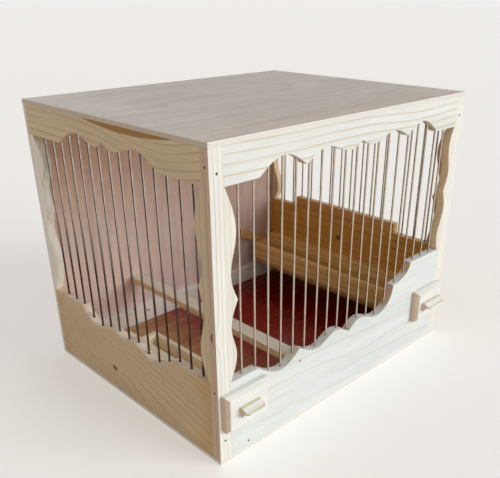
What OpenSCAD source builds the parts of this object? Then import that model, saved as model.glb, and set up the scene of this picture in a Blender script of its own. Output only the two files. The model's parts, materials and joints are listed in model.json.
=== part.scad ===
// Canary breeding cage: a pine frame with scroll-cut rails, plywood floor, top
// and back, steel wires, a top-hung wire door on the right and two drawers.
// Millimetres. X runs to the right, Y to the back and Z up. The origin is under
// the middle of the floor panel, so the cage stands on Z = 0.

/* [Cage] */
// Outside width, left to right
cage_w = 350; // [330:1:420]
// Outside depth, from the front boards to the back panel
cage_d = 280; // [250:1:340]
// Outside height
cage_h = 285; // [265:1:340]

/* [Panels] */
// Thickness of the plywood floor
floor_t = 3; // [2:0.5:6]
// Thickness of the plywood top
top_t = 4; // [3:0.5:6]
// Thickness of the plywood back
back_t = 4; // [3:0.5:6]

/* [Pine frame] */
// Thickness of the front and side boards
board_t = 9; // [8:0.5:11]
// Width of the front corner stiles
stile_w = 14; // [12:0.5:18]
// Height of the straight ends of the front top rail
front_top_h = 30; // [26:0.5:36]
// Height of the low left end of the front bottom rail
front_low_h = 78.5; // [75:0.5:85]
// Height of the high right end of the front bottom rail
front_high_h = 110.5; // [105:0.5:117]
// Height of the straight ends of the side top rails
side_top_h = 29; // [25:0.5:34]
// Height of the straight ends of the left bottom rail
left_low_h = 79; // [71:0.5:90]
// Height of the right bottom rail
right_low_h = 110.5; // [96:0.5:120]
// Thickness of the two rails on the back panel
back_rail_t = 6.5; // [5:0.5:9]
// Height of the two rails on the back panel
back_rail_h = 22; // [16:1:27]

/* [Wires] */
// Diameter of the cage wire
wire_d = 2; // [1.6:0.1:2.4]
// Distance between the front wires
front_pitch = 16.1; // [14:0.1:19]
// Distance between the side wires
side_pitch = 16.4; // [15:0.1:18]
// How far a wire is let into the rail below it
wire_seat = 8; // [5:0.5:12]
// Wood left between the tops of the wires and the top panel
wire_cover = 9; // [6:0.5:12]
// Clearance round a wire in its hole
wire_fit = 0.05; // [0.02:0.01:0.1]

/* [Door] */
// Fixed side wires in front of the door
fixed_front = 3; // [2:1:4]
// Fixed side wires behind the door
fixed_back = 2; // [1:1:3]
// Height of the wooden bar at the foot of the door
door_bar_h = 12; // [9:0.5:16]
// How far the bar reaches past its end wires
door_bar_end = 6.9; // [4:0.1:8]
// Gap between the bar and the rail below it
door_gap = 0.3; // [0.2:0.1:1]
// Distance of the hinge wire below the top rail
hinge_drop = 6; // [5:0.5:8]
// Distance from a hinge wire leg to the fixed wire beside it
hinge_leg_gap = 4.1; // [3.5:0.1:5]
// Radius of the bends in the hinge wire
hinge_bend = 2.5; // [2:0.1:3]
// Clearance between a wire eye and the hinge wire
hinge_fit = 0.08; // [0.02:0.01:0.1]

/* [Cross bar] */
// Distance of the cross bar to the left of the middle
cross_x = 70; // [60:1:80]
// Width of the cross bar
cross_w = 16; // [12:0.5:20]
// Thickness of the cross bar
cross_t = 7.5; // [6:0.5:9]
// Height of the cross bar's top above the ground
cross_z = 67; // [64:0.5:69]
// Depth of the moulded lines along the cross bar
cross_line = 0.5; // [0.3:0.1:1]

/* [Drawers] */
// How far inside the left stile the left drawer box runs
left_box_in = 11.2; // [9:0.1:13]
// How far inside the right stile the right drawer box runs
right_box_in = 3.2; // [1:0.1:6]
// Outside width of the left drawer box
left_drawer_w = 26; // [22:0.1:32]
// Outside width of the right drawer box
right_drawer_w = 35.2; // [30:0.1:38]
// Outside height of the left drawer box
left_drawer_h = 16.5; // [14:0.1:19]
// Outside height of the right drawer box
right_drawer_h = 21.4; // [18:0.1:24]
// Thickness of the left drawer's side walls
left_wall_t = 5; // [4:0.5:6]
// Thickness of the right drawer's side walls
right_wall_t = 7.5; // [5:0.5:9]
// Thickness of the drawer backs
drawer_back_t = 7.5; // [5:0.5:9]
// Thickness of the drawer floors
drawer_floor_t = 3; // [2:0.5:4]
// Length of the left drawer box
left_drawer_len = 162.6; // [120:0.1:190]
// Space left behind the right drawer box
right_drawer_stop = 1.5; // [0.5:0.5:20]
// Running gap beside and below a drawer
slide_gap = 0.3; // [0.2:0.1:0.6]
// Gap between a drawer and the sides of its slot
slot_gap = 0.8; // [0.6:0.1:1.5]
// Gap above a drawer in its slot
slot_head = 1; // [0.5:0.1:2]

/* [Drawer fronts] */
// Width of a drawer front
face_w = 50; // [47:0.5:54]
// Height of a drawer front
face_h = 37.5; // [34:0.5:42]
// Thickness of a drawer front
face_t = 8.3; // [6:0.1:11]
// Height of a drawer front's lower edge above the ground
face_z = 36; // [33:0.5:37]
// How far the left drawer front reaches past the inner side of its slot
left_face_lap = 1; // [0.5:0.1:4]
// How far the right drawer front reaches past the inner side of its slot
right_face_lap = 5.3; // [1:0.1:8]
// Chamfer round a drawer front
face_chamfer = 3.3; // [1:0.1:4.5]
// Gap between a drawer front and the cage
face_gap = 0.2; // [0.1:0.1:0.5]

/* [Pulls] */
// Length of the left pull
left_pull_len = 22.5; // [18:0.5:32]
// Length of the right pull
right_pull_len = 33; // [24:0.5:38]
// Height of a pull
pull_h = 9.8; // [8.6:0.1:11]
// How far a pull stands out
pull_out = 10.7; // [9:0.1:14]
// Depth of the level top of a pull
pull_flat = 3.8; // [2.5:0.1:5]
// Depth at which the slope of the top changes
pull_knee = 7.5; // [6.5:0.1:8.5]
// How far the top falls from its level part to there
pull_knee_drop = 2.4; // [1.5:0.1:3]
// How far the top falls from its level part to the lip
pull_bevel = 3.6; // [3.2:0.1:4.4]
// Thickness of the lip
pull_lip = 1.2; // [0.8:0.1:2]
// Depth of a pull's foot, behind the hollow under the lip
pull_foot = 3.5; // [2.5:0.1:6]
// Chamfer at the outer corners of a pull
pull_chamfer = 2.8; // [1:0.1:4]

/* [Drawer runners] */
// Height of a shelf's underside above the ground
shelf_z = 33; // [32:0.5:35]
// Thickness of the shelves under the drawers
shelf_t = 4; // [3:0.5:5]
// How far the left shelf runs on behind its drawer
shelf_spare = 7.4; // [2:0.1:20]
// Gap between a drawer and the batten over it
kicker_gap = 0.6; // [0.5:0.1:1.5]
// How far a batten reaches over a drawer's outer wall
kicker_lap = 0.8; // [0.5:0.1:3]
// Height of the battens over the drawers
kicker_h = 5.7; // [4:0.1:8]

/* [Rear guide board] */
// Distance from the right rail to the sloping board's inner end
rear_w = 65.6; // [50:0.1:80]
// Thickness of the board
rear_t = 6; // [5:0.5:8]
// Height of its upper edge above the back rail, at the inner end
rear_tall = 58.4; // [54:0.1:70]
// Height of its upper edge above the back rail, at the outer end
rear_low = 29.6; // [28:0.1:52]
// Upright height of the board
rear_h = 11.8; // [8:0.1:20]

/* [Nails] */
// Diameter of a nail's shank
nail_d = 1.2; // [1:0.1:1.6]
// Diameter of a nail's head
nail_head_d = 2.2; // [2:0.1:3]
// Thickness of a nail's head
nail_head_t = 0.6; // [0.4:0.1:1]
// Length of a long nail
nail_len = 18; // [15:0.5:20]
// Length of a short nail
short_nail_len = 9; // [7:0.5:10]
// Distance of the back panel's outer nails from the cage's side
back_nail_in = 75; // [60:1:90]
// Distance of the floor's outer front nails from the cage's side
floor_nail_in = 65; // [50:1:80]
// Distance of the floor's rear nails from the cage's side
rear_nail_in = 85; // [70:1:100]
// Distance of the sloping board's outer nail from the right rail
board_nail_out = 18; // [12:1:25]
// Distance of the sloping board's inner nail from the right rail
board_nail_in = 48; // [36:1:49]
// Clearance round a nail in its hole
nail_fit = 0.03; // [0.02:0.01:0.1]

/* [Hidden] */

// Steps along each curved stretch of a scroll
curve_steps = 8;
// Overlap of a cut past the face that it opens
cut = 1;

// Outer faces of the cage
left_x = -cage_w / 2;
right_x = cage_w / 2;
front_y = -cage_d / 2;
back_y = cage_d / 2;

// The frame stands on the floor panel and carries the top panel
frame_z = floor_t;
frame_top = cage_h - top_t;
frame_back = back_y - back_t;
side_front = front_y + board_t;
side_len = frame_back - side_front;
inner_left = left_x + board_t;
inner_right = right_x - board_t;
front_left = left_x + stile_w;
front_right = right_x - stile_w;

// Edges of the straight stretches of the rails
front_top_edge = frame_top - front_top_h;
front_low_edge = frame_z + front_low_h;
front_high_edge = frame_z + front_high_h;
side_top_edge = frame_top - side_top_h;
left_low_edge = frame_z + left_low_h;
right_low_edge = frame_z + right_low_h;
front_mid = (front_top_edge + front_low_edge) / 2;
side_mid = (side_top_edge + left_low_edge) / 2;

// Kinds of curve from one key of a scroll to the next
LINE = 0;
EASE = 1;
LEVEL_START = 2;
LEVEL_END = 3;
ROUND = 4;

// A scroll is a list of keys: place along the board, height of the edge against
// its straight stretch, and the kind of curve that leads to the key.
// Places on the front rails are measured from the middle to the right.
front_top_keys = [
    [-125, 0, LINE], [-97, 13, LEVEL_END], [-70.5, 0.7, LEVEL_START],
    [-45, 11.2, LEVEL_END], [-14, 3.5, EASE], [3, 9.3, LEVEL_START],
    [20, 3.5, LEVEL_END], [51, 11.2, EASE], [74.5, 3, LEVEL_START],
    [99, 13.8, LEVEL_END], [125.5, 0, LEVEL_START]
];
// The front bottom rail steps up to its high end in two hollows
front_step = front_high_h - front_low_h;
front_low_keys = [
    [-128, 0, LINE], [-98, -14.5, LEVEL_END], [-73.5, -2.2, LEVEL_START],
    [-48, -12.8, LEVEL_END], [-21, -4, EASE], [0.5, -13, LEVEL_START],
    [18, -4.5, LEVEL_END], [48, -12.7, EASE],
    [75, front_step - 18, ROUND], [104.5, front_step, ROUND]
];
// Places on the side rails are measured from the middle to the front
side_top_keys = [
    [-76, 0, LINE], [-44, 13.5, LEVEL_END], [-14, 6.3, EASE],
    [-0.5, 11.5, LEVEL_START], [11, 6, LEVEL_END], [49, 13, EASE],
    [77, 0.5, LEVEL_START]
];
left_low_keys = [
    [-79, 0, LINE], [-50, -14.2, LEVEL_END], [-20, -6.8, EASE],
    [-2, -11, LEVEL_START], [15, -6.7, LEVEL_END], [45, -15.2, EASE],
    [77, 0, LEVEL_START]
];
// Strips: place below the middle of the opening, and width of the strip
front_left_keys = [
    [-84, 0.6, LINE], [-48.7, 10.7, LEVEL_END], [-13.7, 4.3, EASE],
    [9.3, 11, LEVEL_START], [33.3, 3.4, LEVEL_END], [59.3, 8.5, EASE],
    [84, 1, LEVEL_START]
];
front_right_keys = [
    [-84, 0.6, LINE], [-65.7, 6, LEVEL_END], [-36.7, 0.8, EASE],
    [-16.7, 6.7, LEVEL_START], [3.3, 1, LEVEL_END], [34.3, 8, EASE],
    [52.7, 3.5, LEVEL_START]
];
side_front_keys = [
    [-84, 1.5, LINE], [-54, 10.7, LEVEL_END], [-20, 4, EASE],
    [-4, 10.3, LEVEL_START], [20, 5, LEVEL_END], [55, 11.2, EASE],
    [84, 2.5, LEVEL_START]
];
left_back_keys = [
    [-84, 6, LINE], [-59, 19.5, LEVEL_END], [-28, 6.4, EASE],
    [-6.5, 12.6, LEVEL_START], [15, 4, LEVEL_END], [47, 12.5, EASE],
    [84, 1, LEVEL_START]
];
right_back_keys = [
    [-84, 6, LINE], [-59, 18, LEVEL_END], [-30, 5, EASE],
    [-14, 11, LEVEL_START], [0, 5, LEVEL_END], [35, 13.5, EASE],
    [56, 4, LEVEL_START]
];

// Rows of wires stand in the middle of the boards' thickness
front_clear = 15;
front_shift = 1.2;
front_open = front_right - front_left;
front_count = floor((front_open - 2 * front_clear) / front_pitch) + 1;
front_wire_y = front_y + board_t / 2;
side_clear = 18;
side_shift = -4;
side_count = floor((side_len - 2 * side_clear) / side_pitch) + 1;
side_row_mid = (side_front + frame_back) / 2 + side_shift;
left_wire_x = left_x + board_t / 2;
right_wire_x = right_x - board_t / 2;
wire_top = frame_top - wire_cover;
first_back = side_count - fixed_back;

// Door
hinge_z = side_top_edge - hinge_drop;
eye_r = wire_d + hinge_fit;
door_z = right_low_edge + door_gap;
hinge_front = side_wire(fixed_front - 1) + hinge_leg_gap;
hinge_rear = side_wire(first_back) - hinge_leg_gap;

// Drawers, on the left for side -1 and on the right for side 1.
// Places across the cage are measured inwards from its outer side.
shelf_top = shelf_z + shelf_t;
drawer_z = shelf_top + slide_gap;
drawer_front = front_y - face_gap;
function box_near(side) = stile_w + (side < 0 ? left_box_in : right_box_in);
function box_far(side) = box_near(side) + (side < 0 ? left_drawer_w : right_drawer_w);
function box_top(side) = drawer_z + (side < 0 ? left_drawer_h : right_drawer_h);
function wall_t(side) = side < 0 ? left_wall_t : right_wall_t;
function slot_far(side) = box_far(side) + slot_gap;
function guide_edge(side) = box_near(side) - slide_gap;
function guide_top(side) = box_top(side) + kicker_gap;
function face_inset(side) = slot_far(side) - face_w + (side < 0 ? left_face_lap : right_face_lap);
function pull_len(side) = side < 0 ? left_pull_len : right_pull_len;
rear_face = frame_back - rear_t;
function rear_edge(x) = back_rail_top + rear_low + (rear_tall - rear_low) * x / rear_w;
right_drawer_len = rear_face - right_drawer_stop - drawer_front;
left_shelf_end = drawer_front + left_drawer_len + shelf_spare;
back_rail_top = frame_z + back_rail_h;
back_rail_y = frame_back - back_rail_t;
back_head_z = frame_top - back_rail_h;

// Nails: place of the head on the outer face, and length
stile_nail_x = cage_w / 2 - 7.4;
top_nail_z = front_top_edge + 11;
front_nail_set = [
    [-stile_nail_x, front_y, top_nail_z, nail_len],
    [stile_nail_x, front_y, top_nail_z, nail_len],
    [-stile_nail_x, front_y, shelf_z + 27, nail_len],
    [stile_nail_x, front_y, shelf_z + 27, nail_len],
    [-stile_nail_x - 0.9, front_y, frame_z + 21.6, nail_len],
    [-140.8, front_y, frame_z + 6, short_nail_len - 1],
    [-cross_x - 2.9, front_y, cross_z - 1.8, nail_len]
];
side_nail_y = front_y + 4.2;
side_nail_set = [
    [left_x, side_nail_y, front_top_edge + 16, nail_len + 2],
    [left_x, side_nail_y, front_mid - 34.5, stile_w + 2],
    [left_x, side_nail_y, front_low_edge - 6, nail_len + 2]
];
top_nail_set = [
    [left_x + board_t * 0.7, 2.5, cage_h, nail_len],
    [right_x - board_t * 0.7, 2.5, cage_h, nail_len],
    [-8.3, front_y + board_t * 0.6, cage_h, nail_len],
    [-8.3, frame_back - back_rail_t / 2, cage_h, nail_len]
];
side_mid_x = cage_w / 2 - board_t / 2;
back_nail_x = cage_w / 2 - back_nail_in;
floor_nail_x = cage_w / 2 - floor_nail_in;
rear_nail_x = cage_w / 2 - rear_nail_in;
back_nail_set = [
    for (side = [-1, 1])
        for (z = [back_rail_top + 5, back_rail_top + 35, side_top_edge + 16])
            [side * side_mid_x, back_y, z, nail_len],
    for (side = [-1, 1]) [side * side_mid_x, back_y, side_mid + 10, back_t + 6],
    for (x = [-back_nail_x, 0, back_nail_x])
        for (z = [frame_z + back_rail_h / 2, frame_top - back_rail_h / 2])
            [x, back_y, z, short_nail_len],
    [-cross_x, back_y, cross_z - cross_t / 2, nail_len],
    for (x = [board_nail_out, board_nail_in])
        [inner_right - x, back_y, rear_edge(x) - rear_h / 2, short_nail_len]
];
floor_nail_set = [
    for (x = [-floor_nail_x, 0, floor_nail_x]) [x, front_y + board_t / 2, 0, nail_len],
    for (side = [-1, 1]) for (y = [-60, 60]) [side * side_mid_x, y, 0, nail_len],
    for (x = [-rear_nail_x, rear_nail_x]) [x, frame_back - back_rail_t / 2, 0, nail_len]
];

// Share of the way along and up a curve at t from 0 to 1
function along(kind, t) = kind == ROUND ? sin(90 * t) : t;
function rise(kind, t) =
    kind == EASE ? (1 - cos(180 * t)) / 2
    : kind == LEVEL_START || kind == ROUND ? 1 - cos(90 * t)
    : kind == LEVEL_END ? sin(90 * t)
    : t;

// Points of a scroll's edge, with its straight stretches at the given level
function scroll(keys, level = 0) = concat(
    [[keys[0].x, level + keys[0].y]],
    [for (i = [1 : len(keys) - 1])
        for (k = [1 : curve_steps])
            let (a = keys[i - 1], b = keys[i], t = k / curve_steps)
                [a.x + (b.x - a.x) * along(b.z, t), level + a.y + (b.y - a.y) * rise(b.z, t)]]
);

// Outline between a scroll's edge and a straight one, trimmed to lo and hi
function board_outline(points, lo, hi, base) =
    let (inner = [for (p = points) if (p.x > lo + 0.01 && p.x < hi - 0.01) p])
        concat([[lo, base], [lo, inner[0].y]], inner, [[hi, inner[len(inner) - 1].y], [hi, base]]);

// Outline of an upright strip against an edge, from z_lo to z_hi
function strip_outline(keys, edge, side, z_lo, z_mid, z_hi) = [
    for (p = board_outline(scroll(keys), z_mid - z_hi, z_mid - z_lo, 0))
        [edge + side * p.y, z_mid - p.x]
];

// Places of the wires along the front and along the sides
function front_wire(k) = front_shift + (k - (front_count - 1) / 2) * front_pitch;
function side_wire(k) = side_row_mid + (k - (side_count - 1) / 2) * side_pitch;

// Heights of the scroll edges where a wire meets them
function front_low_at(x) = lookup(x, scroll(front_low_keys, front_low_edge));
function left_low_at(y) = lookup(-y, scroll(left_low_keys, left_low_edge));

// Draws on the left side of the cage for -1 and on the right side for 1
module on_side(side)
    mirror([side > 0 ? 1 : 0, 0, 0]) children();

// Stands an outline of x and z up, from y0 back by t
module front_plate(y0, t)
    translate([0, y0 + t, 0])
        rotate([90, 0, 0])
            linear_extrude(t) children();

// Stands an outline of -y and z up, from x0 to the right by t
module side_plate(x0, t)
    translate([x0 + t, 0, 0])
        rotate([90, 0, -90])
            linear_extrude(t) children();

// A box from one corner to the opposite one
module block(lo, hi)
    translate(lo) cube(hi - lo);

// An upright round bar
module rod(x, y, z0, z1, r)
    translate([x, y, z0]) cylinder(h = z1 - z0, r = r, $fn = 24);

// One nail, head at the origin, shank along +Z
module nail(len, fit)
{
    translate([0, 0, -fit]) cylinder(h = nail_head_t + fit, d = nail_head_d + 2 * fit, $fn = 24);
    cylinder(h = len + fit, d = nail_d + 2 * fit, $fn = 16);
}

module front_nail_shapes(fit = 0)
    for (n = front_nail_set)
        translate([n[0], n[1], n[2]]) rotate([-90, 0, 0]) nail(n[3], fit);

module side_nail_shapes(fit = 0)
    for (n = side_nail_set)
        for (flip = [0, 1])
            mirror([flip, 0, 0])
                translate([n[0], n[1], n[2]]) rotate([0, 90, 0]) nail(n[3], fit);

module top_nail_shapes(fit = 0)
    for (n = top_nail_set)
        translate([n[0], n[1], n[2]]) rotate([180, 0, 0]) nail(n[3], fit);

module back_nail_shapes(fit = 0)
    for (n = back_nail_set)
        translate([n[0], n[1], n[2]]) rotate([90, 0, 0]) nail(n[3], fit);

module floor_nail_shapes(fit = 0)
    for (n = floor_nail_set)
        translate([n[0], n[1], n[2]]) nail(n[3], fit);

// Panels

module floor_panel()
    color("rosybrown")
        difference() {
            block([left_x, front_y, 0], [right_x, back_y, floor_t]);
            floor_nail_shapes(nail_fit);
        }

module top_panel()
    color("antiquewhite")
        difference() {
            block([left_x, front_y, frame_top], [right_x, back_y, cage_h]);
            top_nail_shapes(nail_fit);
        }

module back_panel()
    color("burlywood")
        difference() {
            block([left_x, frame_back, frame_z], [right_x, back_y, frame_top]);
            back_nail_shapes(nail_fit);
        }

// Front frame

module front_stile(x0)
    color("linen")
        difference() {
            block([x0, front_y, frame_z], [x0 + stile_w, side_front, frame_top]);
            front_nail_shapes(nail_fit);
            side_nail_shapes(nail_fit);
        }

module front_left_stile()
    front_stile(left_x);

module front_right_stile()
    front_stile(front_right);

module front_wire_holes(z0, z1)
    for (k = [0 : front_count - 1])
        rod(front_wire(k), front_wire_y, z0, z1, wire_d / 2 + wire_fit);

module front_top_rail()
    color("linen")
        difference() {
            front_plate(front_y, board_t)
                polygon(board_outline(scroll(front_top_keys, front_top_edge),
                    front_left, front_right, frame_top));
            front_wire_holes(front_top_edge - cut, wire_top);
            side_nail_shapes(nail_fit);
            top_nail_shapes(nail_fit);
        }

// Slot for a drawer in the front bottom rail, from the given distance inwards
module drawer_slot(side, near)
    on_side(side)
        block([left_x + near, front_y - cut, shelf_top],
            [left_x + slot_far(side), side_front + cut, box_top(side) + slot_head]);

module front_bottom_rail()
    color("linen")
        difference() {
            front_plate(front_y, board_t)
                polygon(board_outline(scroll(front_low_keys, front_low_edge),
                    front_left, front_right, frame_z));
            for (k = [0 : front_count - 1])
                rod(front_wire(k), front_wire_y, front_low_at(front_wire(k)) - wire_seat,
                    front_high_edge + cut, wire_d / 2 + wire_fit);
            drawer_slot(-1, box_near(-1) - slot_gap);
            drawer_slot(1, stile_w - cut);
            front_nail_shapes(nail_fit);
            side_nail_shapes(nail_fit);
            floor_nail_shapes(nail_fit);
        }

module front_left_strip()
    color("linen")
        difference() {
            front_plate(front_y, board_t)
                polygon(strip_outline(front_left_keys, front_left, 1,
                    front_low_edge, front_mid, front_top_edge));
            side_nail_shapes(nail_fit);
        }

module front_right_strip()
    color("linen")
        difference() {
            front_plate(front_y, board_t)
                polygon(strip_outline(front_right_keys, front_right, -1,
                    front_high_edge, front_mid, front_top_edge));
            side_nail_shapes(nail_fit);
        }

// Side frames

module side_top_rail(x0, wire_x, wires)
    color("tan")
        difference() {
            side_plate(x0, board_t)
                polygon(board_outline(scroll(side_top_keys, side_top_edge),
                    -frame_back, -side_front, frame_top));
            for (k = wires)
                rod(wire_x, side_wire(k), side_top_edge - cut, wire_top,
                    wire_d / 2 + wire_fit);
            front_nail_shapes(nail_fit);
            top_nail_shapes(nail_fit);
            back_nail_shapes(nail_fit);
        }

module left_top_rail()
    side_top_rail(left_x, left_wire_x, [0 : side_count - 1]);

module left_bottom_rail()
    color("tan")
        difference() {
            side_plate(left_x, board_t)
                polygon(board_outline(scroll(left_low_keys, left_low_edge),
                    -frame_back, -side_front, frame_z));
            for (k = [0 : side_count - 1])
                rod(left_wire_x, side_wire(k), left_low_at(side_wire(k)) - wire_seat,
                    left_low_edge + cut, wire_d / 2 + wire_fit);
            front_nail_shapes(nail_fit);
            back_nail_shapes(nail_fit);
            floor_nail_shapes(nail_fit);
        }

module left_front_strip()
    color("tan")
        side_plate(left_x, board_t)
            polygon(strip_outline(side_front_keys, -side_front, -1,
                left_low_edge, side_mid, side_top_edge));

module left_back_strip()
    color("tan")
        difference() {
            side_plate(left_x, board_t)
                polygon(strip_outline(left_back_keys, -frame_back, 1,
                    left_low_edge, side_mid, side_top_edge));
            back_nail_shapes(nail_fit);
        }

// Fixed wires of the right side, numbered from the front
fixed_wires = [
    for (k = [0 : fixed_front - 1]) k,
    for (k = [first_back : side_count - 1]) k
];

module right_top_rail()
    difference() {
        side_top_rail(inner_right, right_wire_x, fixed_wires);
        for (y = [hinge_front, hinge_rear])
            rod(right_wire_x, y, side_top_edge - cut, side_top_edge + wire_seat,
                wire_d / 2 + wire_fit);
    }

module right_bottom_rail()
    color("tan")
        difference() {
            block([inner_right, side_front, frame_z], [right_x, frame_back, right_low_edge]);
            for (k = fixed_wires)
                rod(right_wire_x, side_wire(k), right_low_edge - wire_seat,
                    right_low_edge + cut, wire_d / 2 + wire_fit);
            front_nail_shapes(nail_fit);
            back_nail_shapes(nail_fit);
            floor_nail_shapes(nail_fit);
        }

module right_front_strip()
    color("tan")
        side_plate(inner_right, board_t)
            polygon(strip_outline(side_front_keys, -side_front, -1,
                right_low_edge, side_mid, side_top_edge));

module right_back_strip()
    color("tan")
        difference() {
            side_plate(inner_right, board_t)
                polygon(strip_outline(right_back_keys, -frame_back, 1,
                    right_low_edge, side_mid, side_top_edge));
            back_nail_shapes(nail_fit);
        }

// Rails on the back panel

module back_top_rail()
    color("wheat")
        difference() {
            block([inner_left, back_rail_y, back_head_z], [inner_right, frame_back, frame_top]);
            back_nail_shapes(nail_fit);
            top_nail_shapes(nail_fit);
        }

module back_bottom_rail()
    color("wheat")
        difference() {
            block([inner_left, back_rail_y, frame_z], [inner_right, frame_back, back_rail_top]);
            back_nail_shapes(nail_fit);
            floor_nail_shapes(nail_fit);
        }

// Wires

module front_wires()
    color("silver")
        for (k = [0 : front_count - 1])
            rod(front_wire(k), front_wire_y, front_low_at(front_wire(k)) - wire_seat,
                wire_top, wire_d / 2);

module left_wires()
    color("silver")
        for (k = [0 : side_count - 1])
            rod(left_wire_x, side_wire(k), left_low_at(side_wire(k)) - wire_seat,
                wire_top, wire_d / 2);

module right_wires(numbers)
    color("silver")
        for (k = numbers)
            rod(right_wire_x, side_wire(k), right_low_edge - wire_seat, wire_top, wire_d / 2);

module right_front_wires()
    right_wires([0 : fixed_front - 1]);

module right_back_wires()
    right_wires([first_back : side_count - 1]);

// Door: a bar and wires that hang by their eyes on a bent hinge wire

module hinge_corner(y, turn)
    translate([right_wire_x, y, hinge_z + hinge_bend])
        rotate([0, 90, 0])
            rotate([0, 0, turn])
                rotate_extrude(angle = 90, $fn = 48)
                    translate([hinge_bend, 0]) circle(d = wire_d, $fn = 24);

module door_hinge_wire()
    color("silver") {
        translate([right_wire_x, hinge_front + hinge_bend, hinge_z])
            rotate([-90, 0, 0])
                cylinder(h = hinge_rear - hinge_front - 2 * hinge_bend, d = wire_d, $fn = 24);
        hinge_corner(hinge_front + hinge_bend, -90);
        hinge_corner(hinge_rear - hinge_bend, 0);
        for (y = [hinge_front, hinge_rear])
            rod(right_wire_x, y, hinge_z + hinge_bend, side_top_edge + wire_seat, wire_d / 2);
    }

module door_wires()
    color("silver")
        for (k = [fixed_front : first_back - 1])
        {
            rod(right_wire_x, side_wire(k), door_z + door_bar_h - wire_seat,
                hinge_z - eye_r, wire_d / 2);
            translate([right_wire_x, side_wire(k), hinge_z])
                rotate([90, 0, 0])
                    rotate_extrude($fn = 48)
                        translate([eye_r, 0]) circle(d = wire_d, $fn = 24);
        }

module door_bar()
    color("tan")
        difference() {
            block([inner_right, side_wire(fixed_front) - door_bar_end, door_z],
                [right_x, side_wire(first_back - 1) + door_bar_end, door_z + door_bar_h]);
            for (k = [fixed_front : first_back - 1])
                rod(right_wire_x, side_wire(k), door_z + door_bar_h - wire_seat,
                    door_z + door_bar_h + cut, wire_d / 2 + wire_fit);
        }

// Cross bar, with moulded lines along its top

module cross_bar()
    color("wheat")
        difference() {
            front_plate(side_front, side_len)
                polygon(concat(
                    [[-cross_x - cross_w / 2, cross_z - cross_t],
                     [-cross_x + cross_w / 2, cross_z - cross_t],
                     [-cross_x + cross_w / 2, cross_z]],
                    [for (k = [2 : -1 : -2])
                        for (side = [1, 0, -1])
                            [-cross_x + k * cross_w / 6 + side * cross_line,
                             cross_z - (side == 0 ? cross_line : 0)]],
                    [[-cross_x - cross_w / 2, cross_z]]));
            front_nail_shapes(nail_fit);
            back_nail_shapes(nail_fit);
        }

// Runners

module drawer_shelf(side, y_end)
    color("peru")
        on_side(side)
            block([inner_left, side_front, shelf_z], [left_x + slot_far(side), y_end, shelf_top]);

module drawer_guide(side, y_end)
    color("wheat")
        on_side(side)
            block([inner_left, side_front, shelf_top],
                [left_x + guide_edge(side), y_end, guide_top(side)]);

module drawer_kicker(side, y_end)
    color("wheat")
        on_side(side)
            block([inner_left, side_front, guide_top(side)],
                [left_x + box_near(side) + kicker_lap, y_end, guide_top(side) + kicker_h]);

module left_drawer_shelf()
    drawer_shelf(-1, left_shelf_end);

module left_drawer_guide()
    drawer_guide(-1, left_shelf_end);

module left_drawer_kicker()
    drawer_kicker(-1, left_shelf_end);

module right_drawer_shelf()
    drawer_shelf(1, rear_face);

module right_drawer_guide()
    drawer_guide(1, rear_face);

module right_drawer_kicker()
    drawer_kicker(1, rear_face);

module rear_guide_board()
    color("burlywood")
        difference() {
            front_plate(rear_face, rear_t)
                polygon([
                    [inner_right - rear_w, rear_edge(rear_w) - rear_h],
                    [inner_right, rear_edge(0) - rear_h],
                    [inner_right, rear_edge(0)],
                    [inner_right - rear_w, rear_edge(rear_w)]
                ]);
            back_nail_shapes(nail_fit);
        }

// Drawers

module drawer_face(side)
    color("linen")
        on_side(side)
            intersection() {
                translate([left_x + face_inset(side), drawer_front, face_z])
                    linear_extrude(face_h)
                        polygon(chamfered(face_w));
                translate([left_x + face_inset(side), drawer_front, face_z + face_h])
                    rotate([0, 90, 0])
                        linear_extrude(face_w)
                            polygon(chamfered(face_h));
            }

// Outline of a plate of the given width that lies behind y = 0, chamfered in front
function chamfered(width) = [
    [0, 0], [0, -face_t + face_chamfer], [face_chamfer, -face_t],
    [width - face_chamfer, -face_t], [width, -face_t + face_chamfer], [width, 0]
];

// Outline of a pull in y and z: level top, two slopes, lip and a hollow under it
pull_hollow_h = pull_h - pull_bevel - pull_lip;
pull_outline = concat(
    [[0, pull_h / 2], [-pull_flat, pull_h / 2],
     [-pull_knee, pull_h / 2 - pull_knee_drop], [-pull_out, pull_h / 2 - pull_bevel]],
    [for (k = [0 : curve_steps])
        let (a = 90 * k / curve_steps)
            [-pull_out + (pull_out - pull_foot) * sin(a), -pull_h / 2 + pull_hollow_h * cos(a)]],
    [[0, -pull_h / 2]]
);

// Outline in x and y of a pull of the given length
function pull_plan(len) = [
    [-len / 2, 0], [-len / 2, -pull_out + pull_chamfer],
    [-len / 2 + pull_chamfer, -pull_out],
    [len / 2 - pull_chamfer, -pull_out],
    [len / 2, -pull_out + pull_chamfer], [len / 2, 0]
];

module drawer_pull(side)
    color("linen")
        on_side(side)
            translate([left_x + face_inset(side) + face_w / 2,
                       drawer_front - face_t, face_z + face_h / 2])
                intersection() {
                    translate([-pull_len(side) / 2, 0, 0])
                        rotate([90, 0, 90])
                            linear_extrude(pull_len(side)) polygon(pull_outline);
                    translate([0, 0, -pull_h / 2])
                        linear_extrude(pull_h) polygon(pull_plan(pull_len(side)));
                }

module drawer_wall(side, near, len)
    color("blanchedalmond")
        on_side(side)
            block([left_x + near, drawer_front, drawer_z],
                [left_x + near + wall_t(side), drawer_front + len, box_top(side)]);

module drawer_back(side, len)
    color("blanchedalmond")
        on_side(side)
            block([left_x + box_near(side) + wall_t(side),
                   drawer_front + len - drawer_back_t, drawer_z],
                [left_x + box_far(side) - wall_t(side), drawer_front + len, box_top(side)]);

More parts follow.
